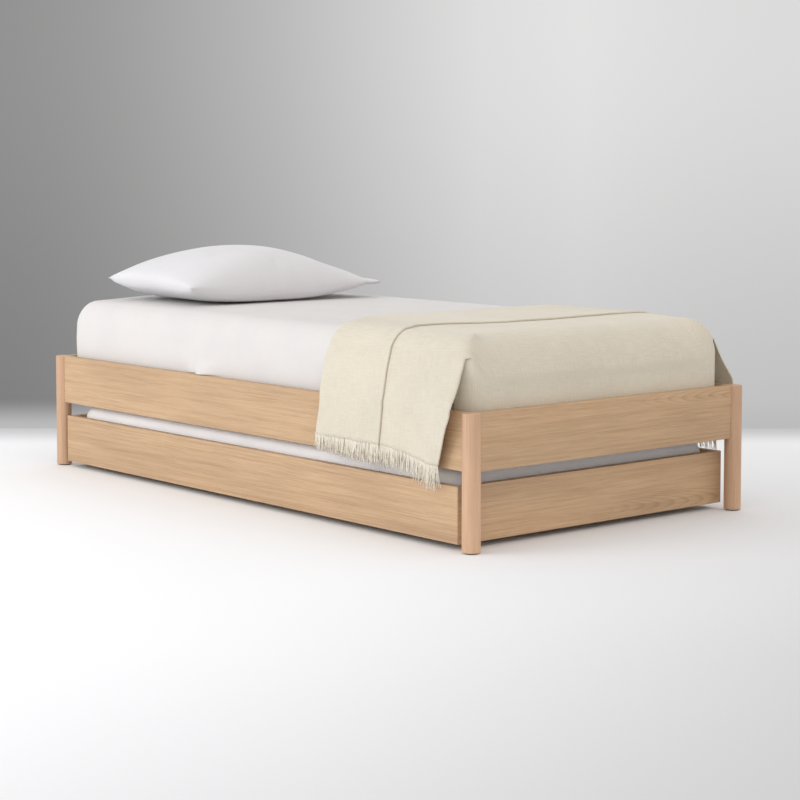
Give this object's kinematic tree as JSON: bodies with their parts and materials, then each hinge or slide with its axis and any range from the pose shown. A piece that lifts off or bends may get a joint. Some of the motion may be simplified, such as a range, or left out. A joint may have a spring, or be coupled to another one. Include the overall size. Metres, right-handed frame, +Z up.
{
  "type": "trundle bed",
  "caption": "Low oak bed with round posts and flat rails, over an oak trundle on casters that rolls out at one side; both have a mattress in a sheet, with a pillow and a fringed throw on top.",
  "frame": {"origin": "on the floor under the middle of the upper bed", "axes": "+X from the head to the foot, +Z up, and the trundle rolls out towards -Y"},
  "size_m": [1.998, 1.036, 0.7],
  "materials": {
    "oak": "satin",
    "slat_wood": "matte",
    "plywood": "matte",
    "steel": "satin",
    "black_plastic": "matte",
    "grey_rubber": "matte",
    "mattress_cover": "matte",
    "white_cotton": "matte",
    "cream_wool": "matte"
  },
  "bodies": {
    "bed_frame": {"post_head_front": "oak", "glide_head_front": "black_plastic", "post_head_back": "oak", "glide_head_back": "black_plastic", "post_foot_front": "oak", "glide_foot_front": "black_plastic", "post_foot_back": "oak", "glide_foot_back": "black_plastic", "side_rail_front": "oak", "side_rail_back": "oak", "head_rail": "oak", "foot_rail": "oak", "slat_cleat_front": "slat_wood", "slat_cleat_back": "slat_wood", "slat_01": "slat_wood", "slat_02": "slat_wood", "slat_03": "slat_wood", "slat_04": "slat_wood", "slat_05": "slat_wood", "slat_06": "slat_wood", "slat_07": "slat_wood", "slat_08": "slat_wood", "slat_09": "slat_wood", "slat_10": "slat_wood", "corner_plate_head_front": "steel", "corner_bolt_head_front": "steel", "corner_plate_head_back": "steel", "corner_bolt_head_back": "steel", "corner_plate_foot_front": "steel", "corner_bolt_foot_front": "steel", "corner_plate_foot_back": "steel", "corner_bolt_foot_back": "steel", "mattress": "mattress_cover", "fitted_sheet": "white_cotton", "pillow": "white_cotton", "pillowcase": "white_cotton", "throw": "cream_wool"},
    "trundle": {"trundle_front_board": "oak", "trundle_back_board": "oak", "trundle_head_board": "oak", "trundle_foot_board": "oak", "trundle_cleat_front": "slat_wood", "trundle_cleat_back": "slat_wood", "trundle_bearer": "slat_wood", "deck_panel_head": "plywood", "deck_panel_foot": "plywood", "caster_bracket_head_front": "steel", "caster_axle_head_front": "steel", "caster_bracket_head_back": "steel", "caster_axle_head_back": "steel", "caster_bracket_foot_front": "steel", "caster_axle_foot_front": "steel", "caster_bracket_foot_back": "steel", "caster_axle_foot_back": "steel", "trundle_mattress": "mattress_cover", "trundle_fitted_sheet": "white_cotton"},
    "wheel_head_front": {"caster_wheel_head_front": "grey_rubber"},
    "wheel_head_back": {"caster_wheel_head_back": "grey_rubber"},
    "wheel_foot_front": {"caster_wheel_foot_front": "grey_rubber"},
    "wheel_foot_back": {"caster_wheel_foot_back": "grey_rubber"}
  },
  "joints": [
    {"name": "trundle_slide", "type": "slide", "parent": "bed_frame", "child": "trundle", "axis": [0, -1, 0], "range_m": [0, 1]},
    {"name": "wheel_spin_head_front", "type": "hinge", "parent": "trundle", "child": "wheel_head_front", "pos_m": [-0.8, -0.4, 0.0252], "axis": [1, 0, 0], "continuous": true},
    {"name": "wheel_spin_head_back", "type": "hinge", "parent": "trundle", "child": "wheel_head_back", "pos_m": [-0.8, 0.384, 0.0252], "axis": [1, 0, 0], "continuous": true},
    {"name": "wheel_spin_foot_front", "type": "hinge", "parent": "trundle", "child": "wheel_foot_front", "pos_m": [0.8, -0.4, 0.0252], "axis": [1, 0, 0], "continuous": true},
    {"name": "wheel_spin_foot_back", "type": "hinge", "parent": "trundle", "child": "wheel_foot_back", "pos_m": [0.8, 0.384, 0.0252], "axis": [1, 0, 0], "continuous": true}
  ],
  "couplings": [
    {"joint": "wheel_spin_head_front", "follows": "trundle_slide", "rad_per_m": 40},
    {"joint": "wheel_spin_head_back", "follows": "trundle_slide", "rad_per_m": 40},
    {"joint": "wheel_spin_foot_front", "follows": "trundle_slide", "rad_per_m": 40},
    {"joint": "wheel_spin_foot_back", "follows": "trundle_slide", "rad_per_m": 40}
  ]
}
